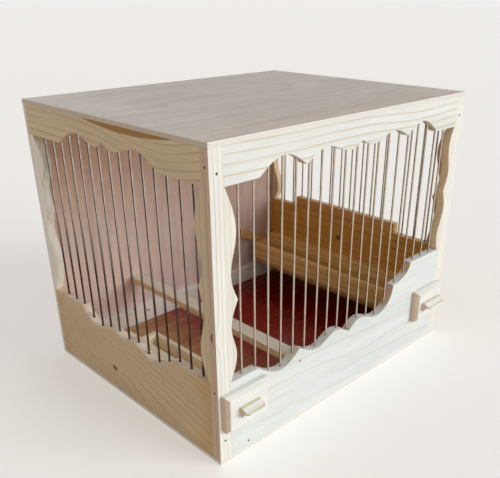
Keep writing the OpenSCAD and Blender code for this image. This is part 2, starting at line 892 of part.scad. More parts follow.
module drawer_floor(side, len)
    color("peru")
        on_side(side)
            block([left_x + box_near(side) + wall_t(side), drawer_front, drawer_z],
                [left_x + box_far(side) - wall_t(side), drawer_front + len - drawer_back_t,
                 drawer_z + drawer_floor_t]);

module left_drawer_face()
    drawer_face(-1);

module left_drawer_pull()
    drawer_pull(-1);

module left_drawer_outer_wall()
    drawer_wall(-1, box_near(-1), left_drawer_len);

module left_drawer_inner_wall()
    drawer_wall(-1, box_far(-1) - left_wall_t, left_drawer_len);

module left_drawer_back()
    drawer_back(-1, left_drawer_len);

module left_drawer_floor()
    drawer_floor(-1, left_drawer_len);

module right_drawer_face()
    drawer_face(1);

module right_drawer_pull()
    drawer_pull(1);

module right_drawer_outer_wall()
    drawer_wall(1, box_near(1), right_drawer_len);

module right_drawer_inner_wall()
    drawer_wall(1, box_far(1) - right_wall_t, right_drawer_len);

module right_drawer_back()
    drawer_back(1, right_drawer_len);

module right_drawer_floor()
    drawer_floor(1, right_drawer_len);

// Nails

module front_nails()
    color("dimgray") front_nail_shapes();

module side_nails()
    color("dimgray") side_nail_shapes();

module top_nails()
    color("dimgray") top_nail_shapes();

module back_nails()
    color("dimgray") back_nail_shapes();

module floor_nails()
    color("dimgray") floor_nail_shapes();

floor_panel();
top_panel();
back_panel();
front_left_stile();
front_right_stile();
front_top_rail();
front_bottom_rail();
front_left_strip();
front_right_strip();
left_top_rail();
left_bottom_rail();
left_front_strip();
left_back_strip();
right_top_rail();
right_bottom_rail();
right_front_strip();
right_back_strip();
back_top_rail();
back_bottom_rail();
front_wires();
left_wires();
right_front_wires();
right_back_wires();
door_hinge_wire();
door_wires();
door_bar();
cross_bar();
left_drawer_shelf();
left_drawer_guide();
left_drawer_kicker();
right_drawer_shelf();
right_drawer_guide();
right_drawer_kicker();
rear_guide_board();
left_drawer_face();
left_drawer_pull();
left_drawer_outer_wall();
left_drawer_inner_wall();
left_drawer_back();
left_drawer_floor();
right_drawer_face();
right_drawer_pull();
right_drawer_outer_wall();
right_drawer_inner_wall();
right_drawer_back();
right_drawer_floor();
front_nails();
side_nails();
top_nails();
back_nails();
floor_nails();
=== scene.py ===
"""Looks of the canary breeding cage: planed pine and bare plywood with softened
edges, drawn steel wires and nail heads, on a plain pale floor in soft light."""
import json
import math
import random

import bmesh
import bpy
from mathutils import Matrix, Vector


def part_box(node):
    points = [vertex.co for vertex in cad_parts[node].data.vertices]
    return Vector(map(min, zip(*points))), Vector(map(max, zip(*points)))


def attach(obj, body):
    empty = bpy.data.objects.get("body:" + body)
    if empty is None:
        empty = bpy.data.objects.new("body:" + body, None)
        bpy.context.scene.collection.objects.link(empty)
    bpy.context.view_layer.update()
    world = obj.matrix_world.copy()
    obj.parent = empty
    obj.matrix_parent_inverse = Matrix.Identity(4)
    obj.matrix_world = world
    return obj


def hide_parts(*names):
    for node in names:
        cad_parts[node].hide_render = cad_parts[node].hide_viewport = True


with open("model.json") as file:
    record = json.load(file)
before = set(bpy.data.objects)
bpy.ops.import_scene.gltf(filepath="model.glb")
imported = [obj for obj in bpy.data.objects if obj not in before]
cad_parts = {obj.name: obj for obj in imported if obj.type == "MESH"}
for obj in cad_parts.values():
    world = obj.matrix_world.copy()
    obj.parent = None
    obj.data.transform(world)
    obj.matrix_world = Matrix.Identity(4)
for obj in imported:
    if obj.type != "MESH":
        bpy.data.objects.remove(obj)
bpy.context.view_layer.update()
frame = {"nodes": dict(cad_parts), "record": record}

MM = 0.001
AXES = "XYZ"

# Camera: the photograph's lens, in pixels of its 500 x 478 frame, and viewpoint
IMAGE_W = 500
IMAGE_H = 478
FOCAL_PX = 617.6
AXIS_PX = (266.6, 305.9)
CAMERA_AT = (-0.4474, -0.4717, 0.3763)
HEADING = 44.83
PITCH = 26.86
SENSOR_MM = 36.0
NEAREST = 0.01

# Light: the sky that lights the cage, the backdrop that is seen in its place, and one
# broad lamp, by its heading, height and spread in degrees
SKY_COLOUR = (1.0, 0.965, 0.92)
SKY_STRENGTH = 0.45
BACKDROP = (0.87, 0.865, 0.855)
KEY_HEADING = 27
KEY_HEIGHT = 18
KEY_SPREAD = 42
KEY_STRENGTH = 1.75

# The floor that the cage stands on, with patches by their size in millimetres and detail
GROUND_COLOUR = (0.86, 0.85, 0.83)
GROUND_SIZE = 60.0
GROUND_GLOW = 0.34
GROUND_ROUGHNESS = 0.85
GROUND_PATCHES = ((60.0, 60.0, 60.0), 3.0)
GROUND_TONES = (0.3, 0.7, 0.985, 1.0)

# Softened edges: how wide they are in metres, which ones count as edges, and over
# which angles the shading runs on
BOARD_EDGE = 0.5 * MM
PLY_EDGE = 0.25 * MM
EDGE_STEPS = 2
WELD = 1e-6
FLAT_ANGLE = math.radians(0.5)
EDGE_ANGLE = math.radians(35)
SHORTEST_EDGE = 0.8 * MM
SMOOTH_ANGLE = math.radians(48)
FACET_ANGLE = math.radians(10)
FACETED = ("left_drawer_pull", "right_drawer_pull")
FACE_WEIGHT = 100

# Looks of the woods: colours of the early wood, of what lies between and of the late
# wood, the spacing of the rings in millimetres, how far they wander, and how
# strongly they show. Several are lit and shaded copies of one pine: the cool
# near-white of the front boards' looks and the pale and white looks are partly
# painted light, and the browner side, calm and inner looks are partly painted shade
LOOKS = {
    "rail": ((236, 241, 240), (233, 236, 231), (226, 223, 212), 8.5, 3.0, 0.8),
    "head": ((241, 244, 240), (236, 233, 221), (209, 188, 151), 8.0, 1.2, 0.95),
    "stile": ((250, 250, 244), (244, 240, 228), (207, 174, 132), 3.4, 1.0, 1.0),
    "strip": ((246, 244, 234), (240, 234, 217), (220, 197, 160), 4.6, 1.5, 0.8),
    "face": ((248, 250, 246), (245, 245, 238), (229, 218, 196), 6.0, 2.0, 0.6),
    "side": ((225, 202, 166), (216, 188, 147), (177, 136, 90), 5.6, 2.0, 0.8),
    "pale": ((254, 247, 232), (250, 236, 210), (224, 196, 154), 5.0, 2.0, 0.7),
    "inner": ((250, 212, 138), (236, 188, 104), (190, 132, 62), 4.6, 3.0, 0.8),
    "tan": ((253, 244, 222), (249, 233, 202), (222, 192, 144), 3.6, 2.0, 0.7),
    "bar": ((254, 251, 242), (248, 239, 220), (222, 198, 160), 3.0, 1.5, 0.9),
    "white": ((255, 254, 253), (252, 249, 244), (238, 228, 212), 7.0, 2.0, 0.6),
    "calm": ((223, 195, 157), (215, 184, 143), (184, 142, 95), 9.0, 3.0, 0.75),
    "top": ((214, 206, 199), (208, 199, 191), (199, 188, 179), 14.0, 26.0, 0.7),
    "back": ((240, 217, 205), (235, 209, 196), (222, 193, 179), 12.0, 10.0, 0.6),
    "floor": ((158, 26, 8), (148, 18, 5), (130, 12, 3), 15.0, 20.0, 0.4),
    "tray": ((222, 182, 126), (208, 162, 104), (180, 130, 76), 8.0, 10.0, 0.7),
}

# Where those colours lie over the width of one ring, in solid wood and in a sheet
SOLID_RING = ((0.0, "early"), (0.5, "early"), (0.8, "between"),
              (0.9, "late"), (0.95, "between"), (1.0, "early"))
SHEET_RING = ((0.0, "early"), (0.35, "between"), (0.6, "late"),
              (0.8, "between"), (1.0, "early"))

# Look, grain axis and names of the solid boards
BOARDS = (
    ("stile", "Z", ("front_left_stile", "front_right_stile")),
    ("strip", "Z", ("front_left_strip", "front_right_strip")),
    ("head", "X", ("front_top_rail",)),
    ("rail", "X", ("front_bottom_rail",)),
    ("face", "X", ("left_drawer_face", "right_drawer_face",
                   "left_drawer_pull", "right_drawer_pull")),
    ("side", "Z", ("left_front_strip",)),
    ("pale", "Z", ("left_back_strip",)),
    ("side", "Z", ("right_front_strip", "right_back_strip")),
    ("side", "Y", ("left_top_rail",)),
    ("calm", "Y", ("left_bottom_rail",)),
    ("side", "Y", ("right_top_rail",)),
    ("calm", "Y", ("right_bottom_rail", "door_bar")),
    ("inner", "Y", ("right_drawer_guide", "right_drawer_kicker",
                    "right_drawer_outer_wall", "right_drawer_inner_wall")),
    ("tan", "Y", ("left_drawer_guide", "left_drawer_kicker",
                  "left_drawer_outer_wall", "left_drawer_inner_wall")),
    ("tan", "X", ("left_drawer_back",)),
    ("inner", "X", ("right_drawer_back",)),
    ("white", "X", ("back_top_rail", "back_bottom_rail")),
    ("bar", "Y", ("cross_bar",)),
)

# Look, grain axis, axis of the thickness and names of the plywood sheets
SHEETS = (
    ("top", "X", "Z", ("top_panel",)),
    ("floor", "X", "Z", ("floor_panel",)),
    ("back", "Z", "Y", ("back_panel",)),
    ("tray", "Y", "Z", ("left_drawer_shelf", "right_drawer_shelf",
                        "left_drawer_floor", "right_drawer_floor")),
    ("tray", "X", "Y", ("rear_guide_board",)),
)

# Noises in the wood: size of feature along and across the grain in millimetres,
# detail, roughness, and a step away from the other noises
NOISES = {
    "wobble": (150.0, 60.0, 2.0, 0.5, 0.0),
    "ripple": (30.0, 8.0, 3.0, 0.5, 0.0),
    "fade": (120.0, 16.0, 1.0, 0.5, 11.0),
    "fibre": (22.0, 0.55, 4.0, 0.6, 23.0),
    "tone": (160.0, 24.0, 2.0, 0.5, 37.0),
    "pores": (7.0, 0.5, 2.0, 0.5, 51.0),
    "smudge": (40.0, 26.0, 3.0, 0.5, 67.0),
    "mottle": (9.0, 5.0, 4.0, 0.65, 79.0),
}
NOISE_STARTS = (3.0, 90.0)

# How far the heart of the tree lies off a board, in millimetres, and how far the
# noises push the rings, as shares of the look's wander
HEART_AWAY = (30.0, 60.0)
WOBBLE_PUSH = 3.0
RIPPLE_PUSH = 0.25

# Steps from one amount to another: where on the noise or slant each starts and is
# complete, and, where they are given, its amounts before and after
FADE_STEP = (0.35, 0.75)
MOST_FADED = 0.85
FIBRE_TONES = (0.25, 0.75, 0.915, 1.045)
BOARD_TONES = (0.3, 0.7, 0.935, 1.025)
MOTTLE_TONES = (0.3, 0.7, 0.955, 1.04)
PORE_STEP = (0.68, 0.76, 0.0, 0.3)
PORE_SHADE = 0.78
SMUDGE_STEP = (0.62, 0.8, 0.0, 0.18)
SMUDGE_SHADE = 0.85
END_STEP = (0.55, 0.7)
FLANK_STEP = (0.3, 0.65)
FACET_STEP = (0.86, 0.95)

# How some boards were cut from the tree: the heart, in millimetres from the middle
# of the board, how far the rings drift in a run along the grain, and their spacing
CUTS = {
    "left_top_rail": {"heart": (22, -40)},
    "left_bottom_rail": {"heart": (30, -60), "slant": -16.0, "ring": 7.0},
    "front_top_rail": {"heart": (30, -32), "slant": 1.0, "ring": 5.0},
    "front_bottom_rail": {"heart": (60, -90), "slant": 6.0, "ring": 12.0},
}
SLANT_RUN = 100.0

# Swells, which the rings flow round: place in millimetres, half length along the
# grain, half width, and how far they push the rings
SWELLS = {
    "left_top_rail": [(-175, -76, 280, 66, 60, 14.0)],
    "left_bottom_rail": [(-175, -30, 4, 60, 24, 10.0)],
    "front_bottom_rail": [(20, -140, 40, 55, 16, 8.0)],
    "front_top_rail": [(-110, -140, 262, 90, 20, 2.0), (90, -140, 270, 60, 16, 3.0)],
}

# Knots: place in millimetres, and half their length and width; how they push the
# rings, where their rims lie, and the size, detail, places and colours of their rings
KNOTS = {
    "left_bottom_rail": (-175, 26, 28, 4.6, 2.8),
    "right_bottom_rail": (166, 10, 86, 4.2, 3.2),
    "front_left_stile": (-175, -135, 128, 3.6, 1.8),
    "back_bottom_rail": (-62, 129.5, 17, 2.6, 1.4),
}
KNOT_PUSH = 8.0
KNOT_FALLOFF = 0.12
KNOT_RIM = (1.4, 0.7)
KNOT_RINGS = ((1.2, 1.2, 1.2), 2.0)
KNOT_RING_STEP = (0.3, 0.7)
KNOT_PALE = (0.86, 0.76, 0.66)
KNOT_DARK = (0.62, 0.5, 0.4)

# Dark heartwood at a board's top edge: middle along the grain, height of the edge,
# half length and depth, in millimetres
HEARTWOOD = {"left_top_rail": (-36, 281, 68, 5.5)}
HEARTWOOD_COLOUR = (160, 107, 36)
HEARTWOOD_FRAY = 0.3
HEARTWOOD_STEP = (0.12, 0.3, 0.0, 0.9)

# Linear filters over the wood's colour, above 1 where they brighten it: on end grain,
# and on the flanks of some boards, with the axis and the way that these face. The
# flank filters are painted light and shade: some flanks darker and warmer as painted
# shade, others lighter as painted light
END_GRAIN = (0.83, 0.62, 0.47)
PAINTED_FLANK_LIGHT = {
    "front_left_stile": ("X", -1, (0.74, 0.53, 0.39)),
    "front_top_rail": ("X", -1, (0.92, 0.72, 0.5)),
    "front_bottom_rail": ("X", -1, (1.0, 0.93, 0.84)),
    "front_right_strip": ("X", -1, (1.0, 0.82, 0.58)),
    "right_bottom_rail": ("X", -1, (0.98, 0.68, 0.2)),
    "door_bar": ("X", -1, (1.0, 0.7, 0.3)),
    "left_back_strip": ("Y", -1, (1.0, 1.04, 1.08)),
    "left_bottom_rail": ("Z", 1, (1.28, 1.5, 2.1)),
    "cross_bar": ("X", -1, (0.92, 0.74, 0.5)),
    "left_drawer_pull": ("Z", 1, (0.84, 0.78, 0.62)),
    "right_drawer_pull": ("Z", 1, (0.84, 0.78, 0.62)),
    "right_drawer_inner_wall": ("Z", 1, (1.1, 1.12, 1.15)),
}

# Drifts of colour over a board or sheet: the axis, the places in millimetres where
# each starts and is complete, and the linear filter there. They sway with the smudges.
# On the back panel they are painted shade at the top and on the right and painted
# light at the bottom; on the floor panel a painted pool of light on the left and a
# painted shadow under the right drawer. The left bottom rail grows darker towards
# both ends, and the top panel lighter to the left and warmer to the front
DRIFTS = {
    "back_panel": [("Z", 110, 250, (1.02, 0.84, 0.68)), ("Z", 90, 20, (1.06, 1.09, 1.24)),
                   ("X", -10, 60, (0.8, 0.76, 0.76))],
    "floor_panel": [("X", 0, -110, (2.0, 50.0, 84.0)), ("X", 30, 110, (0.5, 0.4, 0.4))],
    "left_bottom_rail": [("Y", -96, -130, (0.93, 0.83, 0.66)),
                         ("Y", 112, 140, (0.95, 0.85, 0.7))],
    "top_panel": [("X", -60, -170, (1.1, 1.11, 1.12)), ("Y", -80, -140, (1.04, 1.0, 0.96))],
}
DRIFT_SWAY = 60.0

# Edges are paler, partly worn so where the plane and hands have rounded them and
# partly as a painted highlight: how near to an edge, from which turn of the surface,
# and how much, with a stronger painted highlight on the planed inner boards
PALE_EDGE_REACH = 1.2 * MM
PALE_EDGE_SAMPLES = 4
PALE_EDGE_TURN = (0.995, 0.85)
EDGE_WEAR_AND_HIGHLIGHT = 0.45
INNER_EDGE_WEAR_AND_HIGHLIGHT = 0.95

# Gloss and relief of bare wood, smoother along the rings, and of the stained floor
BARE_ROUGHNESS = 0.5
STAINED_ROUGHNESS = 0.16
FIBRE_ROUGHNESS = 0.22
RING_SMOOTHING = 0.05
WOOD_SPECULAR = 0.32
RING_RELIEF = 0.3
FIBRE_RELIEF = 0.8
GRAIN_DEPTH = 0.1
GRAIN_STRENGTH = 0.5

# Layers of a plywood sheet on its cut edges: their colours, where they lie through
# the thickness, the size and detail of the fuzz, and a filter of painted shade on one
# side of a sheet; then the turn of the surface where they show, and how deep the stain
# of the floor goes
PLIES = {"pale": (247, 245, 240), "core": (240, 236, 228), "glue": (206, 196, 180)}
TRAY_PLIES = {"pale": (206, 166, 112), "core": (188, 146, 92), "glue": (150, 108, 64)}
PLY_STACK = ((0.0, "pale"), (0.29, "pale"), (0.33, "glue"), (0.37, "core"),
             (0.63, "core"), (0.67, "glue"), (0.71, "pale"), (1.0, "pale"))
PLY_FUZZ = ((1.4, 1.4, 0.8), 4.0)
PLY_TONES = (0.25, 0.75, 0.9, 1.05)
PAINTED_PLY_SHADE = {"top_panel": ("X", -1, (0.76, 0.64, 0.55))}
CUT_EDGE_TURN = (0.998, 0.975)
UNSTAINED_BELOW = (0.12, 0.04)

# Steels: light and dark colour, roughness, and maybe a painted highlight, by its colour,
# by the slants where it starts and is full, and by the heights where it fades in. The
# darker copy of the wire steel for the left row is painted shade. The dull patches and
# scratches have a size along and across the wires, and a detail
STEELS = {
    "wire_steel": ((122, 108, 96), (96, 82, 70), 0.2,
                   {"colour": (210, 196, 178), "slants": (-0.75, -0.3)}),
    "dull_wire_steel": ((90, 70, 60), (62, 46, 39), 0.3,
                        {"colour": (232, 222, 214), "slants": (0.1, 0.6),
                         "heights": (120, 200)}),
    "nail_steel": ((96, 90, 84), (60, 52, 46), 0.45, None),
}
PAINTED_SHADE_WIRES = "left_wires"
PATCHES = ((14.0, 5.0, 5.0), 3.0)
PATCH_STEP = (0.4, 0.7)
PATCH_ROUGHNESS = 0.2
PATCH_GLOSS = (0.35, 0.75)
PAINTED_HIGHLIGHT_TONES = (0.4, 0.7, 1.0, 0.78)
SCRATCHES = ((30.0, 0.25, 0.25), 3.0)
SCRATCH_TONES = (0.3, 0.7, 0.88, 1.06)
SCRATCH_DEPTH = 0.02
SCRATCH_STRENGTH = 0.4


def linear(colour, share=(1.0, 1.0, 1.0)):
    """A share of an sRGB colour, 0 to 255, as linear values with alpha."""
    values = [c * part / 255 for c, part in zip(colour, share)]
    curve = [v / 12.92 if v <= 0.04045 else ((v + 0.055) / 1.055) ** 2.4 for v in values]
    return (*curve, 1.0)


class Graph:
    """A material's node tree, with a short call for each kind of node used here."""

    def __init__(self, name):
        self.material = bpy.data.materials.new(name)
        self.material.use_nodes = True
        self.tree = self.material.node_tree
        self.tree.nodes.clear()
        out = self.add("ShaderNodeOutputMaterial")
        self.shader = self.add("ShaderNodeBsdfPrincipled")
        self.tree.links.new(self.shader.outputs[0], out.inputs["Surface"])

    def add(self, kind, **settings):
        node = self.tree.nodes.new(kind)
        for key, value in settings.items():
            setattr(node, key, value)
        return node

    def feed(self, socket, value):
        """Sets a socket to a number or colour, or links it to another socket."""
        if isinstance(value, bpy.types.NodeSocket):
            self.tree.links.new(value, socket)
        elif socket.type == "VECTOR":
            socket.default_value = value[:3]
        else:
            socket.default_value = value

    def math(self, operation, *values):
        node = self.add("ShaderNodeMath", operation=operation)
        for socket, value in zip(node.inputs, values):
            self.feed(socket, value)
        return node.outputs[0]

    def coordinates(self, kind):
        """X, Y and Z of a texture coordinate."""
        source = self.add("ShaderNodeTexCoord")
        parts = self.add("ShaderNodeSeparateXYZ")
        self.feed(parts.inputs[0], source.outputs[kind])
        return parts.outputs

    def place(self):
        """Place on the piece along X, Y and Z, in millimetres."""
        parts = self.coordinates("Object")
        return {axis: self.math("MULTIPLY", parts[axis], 1 / MM) for axis in AXES}

    def facing(self, axis, way=0):
        """How squarely the surface faces along an axis, either way, or one way for 1 or -1."""
        part = self.coordinates("Normal")[axis]
        if way:
            return self.math("MULTIPLY", part, float(way))
        return self.math("ABSOLUTE", part)

    def noise(self, point, pitch, detail, roughness=0.5, shift=0.0):
        """Noise about 0 to 1, with a size of feature in millimetres for each axis."""
        vector = self.add("ShaderNodeCombineXYZ")
        for socket, value, size in zip(vector.inputs, point, pitch):
            self.feed(socket, self.math("MULTIPLY_ADD", value, 1.0 / size, shift))
        node = self.add("ShaderNodeTexNoise")
        self.feed(node.inputs["Vector"], vector.outputs[0])
        node.inputs["Scale"].default_value = 1.0
        node.inputs["Detail"].default_value = detail
        node.inputs["Roughness"].default_value = roughness
        return node.outputs["Fac"]

    def ramp(self, value, stops):
        """A colour from a list of (place, colour) stops, colours linear with alpha."""
        node = self.add("ShaderNodeValToRGB")
        self.feed(node.inputs[0], value)
        elements = node.color_ramp.elements
        while len(elements) < len(stops):
            elements.new(0.5)
        for element, (place, colour) in zip(elements, stops):
            element.position = place
            element.color = colour
        return node.outputs[0]

    def level(self, value, low, high, to_low=0.0, to_high=1.0):
        """A smooth step from to_low to to_high as the value goes from low to high."""
        node = self.add("ShaderNodeMapRange", interpolation_type="SMOOTHSTEP")
        for socket, number in zip(node.inputs[:5], (value, low, high, to_low, to_high)):
            self.feed(socket, number)
        return node.outputs[0]

    def mix(self, factor, a, b, blend="MIX"):
        node = self.add("ShaderNodeMix", data_type="RGBA", blend_type=blend)
        self.feed(node.inputs["Factor"], factor)
        self.feed(node.inputs[6], a)
        self.feed(node.inputs[7], b)
        return node.outputs[2]

    def filtered(self, amount, colour, colour_filter):
        """The colour, and by the amount the colour through a linear filter."""
        through = self.mix(1.0, colour, (*colour_filter, 1.0), blend="MULTIPLY")
        return self.mix(amount, colour, through)

    def shade(self, colour, amount):
        """The colour times an amount."""
        node = self.add("ShaderNodeVectorMath", operation="SCALE")
        self.feed(node.inputs[0], colour)
        self.feed(node.inputs["Scale"], amount)
        return node.outputs[0]

    def bump(self, height, depth_mm, strength):
        node = self.add("ShaderNodeBump")
        node.inputs["Strength"].default_value = strength
        node.inputs["Distance"].default_value = depth_mm * MM
        self.feed(node.inputs["Height"], height)
        self.feed(self.shader.inputs["Normal"], node.outputs[0])


class Wood(Graph):
    """Solid wood, whose growth rings run through the piece along its grain."""

    def __init__(self, name, look, grain, centre):
        super().__init__(name + "_wood")
        self.name = name
        self.look = look
        self.is_sheet = any(name in names for *_, names in SHEETS)
        self.early, self.between, self.late, spacing, self.wander, self.show = LOOKS[look]
        self.grain = grain
        self.across = [axis for axis in AXES if axis != grain]
        self.at = self.place()
        self.cut = CUTS.get(name, {})
        self.random = random.Random(name)
        self.shift = self.random.uniform(*NOISE_STARTS)
        self.fibre = self.texture("fibre")
        self.smudge = self.texture("smudge")

        radius, knot = self.around_knot(self.around_swells(self.heart_distance(centre)))
        turn = self.math("FRACT", self.math("DIVIDE", radius, self.cut.get("ring", spacing)))
        pores = self.level(self.texture("pores"), *PORE_STEP)
        self.colour = self.weathered_and_painted_light(self.grown(turn, pores))
        if knot is not None:
            self.colour = self.mix(knot, self.colour, self.knot_colour())
        self.finish(turn, pores)

    def texture(self, kind):
        """One of the noises in the wood, drawn out along the grain."""
        along, across, detail, roughness, step = NOISES[kind]
        point = [self.at[axis] for axis in (self.grain, *self.across)]
        return self.noise(point, (along, across, across), detail, roughness, self.shift + step)

    def heart_distance(self, centre):
        """Distance from the heart of the tree, which wanders, in millimetres.

        The heart lies off the board, so the rings cross its faces at a slant.
        """
        heart = self.cut.get("heart")
        if heart is None:
            heart = [self.random.choice((-1, 1)) * self.random.uniform(*HEART_AWAY)
                     for _ in self.across]
        squares = []
        for axis, offset in zip(self.across, heart):
            middle = centre[AXES.index(axis)] / MM + offset
            gap = self.math("SUBTRACT", self.at[axis], middle)
            squares.append(self.math("MULTIPLY", gap, gap))
        radius = self.math("SQRT", self.math("ADD", *squares))
        for kind, push in (("wobble", WOBBLE_PUSH), ("ripple", RIPPLE_PUSH)):
            noise = self.texture(kind)
            radius = self.math("MULTIPLY_ADD", noise, self.wander * push, radius)
        slant = self.cut.get("slant", 0.0) / SLANT_RUN
        return self.math("MULTIPLY_ADD", self.at[self.grain], slant, radius)

    def apart(self, spot, half_length, half_width):
        """Squared distance from a spot, 1 at the edge of a spindle along the grain."""
        squares = []
        for axis, at in zip(AXES, spot):
            half = half_length if axis == self.grain else half_width
            gap = self.math("MULTIPLY_ADD", self.at[axis], 1.0 / half, -at / half)
            squares.append(self.math("MULTIPLY", gap, gap))
        return self.math("ADD", self.math("ADD", squares[0], squares[1]), squares[2])

    def pushed(self, radius, apart, falloff, push):
        """The rings pushed outwards near a spot."""
        near = self.math("EXPONENT", self.math("MULTIPLY", apart, -falloff))
        return self.math("MULTIPLY_ADD", near, push, radius)

    def around_swells(self, radius):
        for *spot, half_length, half_width, push in SWELLS.get(self.name, ()):
            apart = self.apart(spot, half_length, half_width)
            radius = self.pushed(radius, apart, 1.0, push)
        return radius

    def around_knot(self, radius):
        """The rings flowing round the board's knot, and the knot's mask, if it has one."""
        if self.name not in KNOTS:
            return radius, None
        *spot, half_length, half_width = KNOTS[self.name]
        apart = self.apart(spot, half_length, half_width)
        radius = self.pushed(radius, apart, KNOT_FALLOFF, KNOT_PUSH)
        return radius, self.level(apart, *KNOT_RIM)

    def knot_colour(self):
        point = [self.at[axis] for axis in (*self.across, self.grain)]
        rings = self.noise(point, *KNOT_RINGS, shift=self.shift)
        colours = [linear(self.late, share) for share in (KNOT_DARK, KNOT_PALE)]
        return self.ramp(rings, list(zip(KNOT_RING_STEP, colours)))

    def grown(self, turn, pores):
        """The colour as the wood grew: rings, fibres, pores, smudges and heartwood."""
        colours = {"early": self.early, "between": self.between, "late": self.late}
        ring = SHEET_RING if self.is_sheet else SOLID_RING
        colour = self.ramp(turn, [(place, linear(colours[part])) for place, part in ring])

        # Rings fade in and out over the board, and fine fibres run along it
        plain = linear([(a + b) / 2 for a, b in zip(self.early, self.between)])
        fade = self.level(self.texture("fade"), *FADE_STEP, 1.0 - self.show, MOST_FADED)
        colour = self.mix(fade, colour, plain)
        colour = self.shade(colour, self.level(self.fibre, *FIBRE_TONES))
        colour = self.shade(colour, self.level(self.texture("tone"), *BOARD_TONES))

        # Short dark resin pores and a few grey smudges from handling
        colour = self.mix(pores, colour, linear(self.late, (PORE_SHADE,) * 3))
        smudged = linear(self.between, (SMUDGE_SHADE,) * 3)
        colour = self.mix(self.level(self.smudge, *SMUDGE_STEP), colour, smudged)
        if self.name not in HEARTWOOD:
            return colour

        middle, top, half_length, depth = HEARTWOOD[self.name]
        along = self.at[self.grain]
        run = self.math("MULTIPLY_ADD", along, 1.0 / half_length, -middle / half_length)
        below = self.math("MULTIPLY_ADD", self.at["Z"], 1.0 / depth, 1.0 - top / depth)
        inside = self.math("SUBTRACT", below, self.math("MULTIPLY", run, run))
        frayed = self.math("MULTIPLY_ADD", self.fibre, HEARTWOOD_FRAY, inside)
        return self.mix(self.level(frayed, *HEARTWOOD_STEP), colour, linear(HEARTWOOD_COLOUR))

    def painted_flank(self, colour, axis, way, colour_filter):
        """The colour with painted light and shade, filtered where the surface faces one way along
        an axis.
        """
        step = FACET_STEP if self.name in FACETED else FLANK_STEP
        return self.filtered(self.level(self.facing(axis, way), *step), colour, colour_filter)

    def weathered_and_painted_light(self, colour):
        """The colour as cutting and use have left it on each side of the piece,
        with painted light and shade on some flanks, in drifts and along the edges.
        """
        end = self.level(self.facing(self.grain), *END_STEP)
        colour = self.filtered(end, colour, END_GRAIN)
        # Painted light and shade on the flanks that face one way
        if self.name in PAINTED_FLANK_LIGHT:
            colour = self.painted_flank(colour, *PAINTED_FLANK_LIGHT[self.name])
        # Drifts along the piece, most of them painted light and shade
        for axis, start, full, colour_filter in DRIFTS.get(self.name, ()):
            centred = self.math("SUBTRACT", self.at[axis], DRIFT_SWAY / 2)
            swayed = self.math("MULTIPLY_ADD", self.smudge, DRIFT_SWAY, centred)
            colour = self.filtered(self.level(swayed, start, full), colour, colour_filter)
        if self.is_sheet:
            colour = self.shade(colour, self.level(self.texture("mottle"), *MOTTLE_TONES))

        # Paler edges: partly worn, partly a painted highlight, strongest on the inner boards
        rounded = self.add("ShaderNodeBevel", samples=PALE_EDGE_SAMPLES)
        rounded.inputs["Radius"].default_value = PALE_EDGE_REACH
        surface = self.add("ShaderNodeNewGeometry")
        turned = self.add("ShaderNodeVectorMath", operation="DOT_PRODUCT")
        self.feed(turned.inputs[0], rounded.outputs[0])
        self.feed(turned.inputs[1], surface.outputs["Normal"])
        most = INNER_EDGE_WEAR_AND_HIGHLIGHT if self.look == "inner" else EDGE_WEAR_AND_HIGHLIGHT
        wear_and_highlight = self.level(turned.outputs["Value"], *PALE_EDGE_TURN, 0.0, most)
        return self.mix(wear_and_highlight, colour, linear(self.early))

    def finish(self, turn, pores):
        """Sets colour, gloss and relief."""
        inputs = self.shader.inputs
        self.feed(inputs["Base Color"], self.colour)
        smooth = STAINED_ROUGHNESS if self.look == "floor" else BARE_ROUGHNESS
        rough = self.math("MULTIPLY_ADD", self.fibre, FIBRE_ROUGHNESS, smooth)
        glossier = self.math("MULTIPLY", turn, RING_SMOOTHING)
        self.feed(inputs["Roughness"], self.math("SUBTRACT", rough, glossier))
        inputs["Specular IOR Level"].default_value = WOOD_SPECULAR
        fibres = self.math("MULTIPLY", self.fibre, FIBRE_RELIEF)
        relief = self.math("MULTIPLY_ADD", turn, RING_RELIEF, fibres)
        self.bump(self.math("SUBTRACT", relief, pores), GRAIN_DEPTH, GRAIN_STRENGTH)

    def add_plies(self, axis, low, high):
        """Adds the layers of a sheet to its cut edges, and bare wood under a stained one."""
        colours = TRAY_PLIES if self.look == "tray" else PLIES
        depth = self.math("MULTIPLY_ADD", self.at[axis], MM / (high - low), -low / (high - low))
        layers = self.ramp(depth, [(place, linear(colours[layer])) for place, layer in PLY_STACK])
        fuzz = self.noise([self.at[side] for side in AXES], *PLY_FUZZ)
        layers = self.shade(layers, self.level(fuzz, *PLY_TONES))
        # On the top panel, the cut edge that faces left is darker, as painted shade
        if self.name in PAINTED_PLY_SHADE:
            layers = self.painted_flank(layers, *PAINTED_PLY_SHADE[self.name])
        side_on = self.level(self.facing(axis), *CUT_EDGE_TURN)
        if self.look == "floor":
            side_on = self.math("MAXIMUM", side_on, self.level(depth, *UNSTAINED_BELOW))
        self.feed(self.shader.inputs["Base Color"], self.mix(side_on, self.colour, layers))


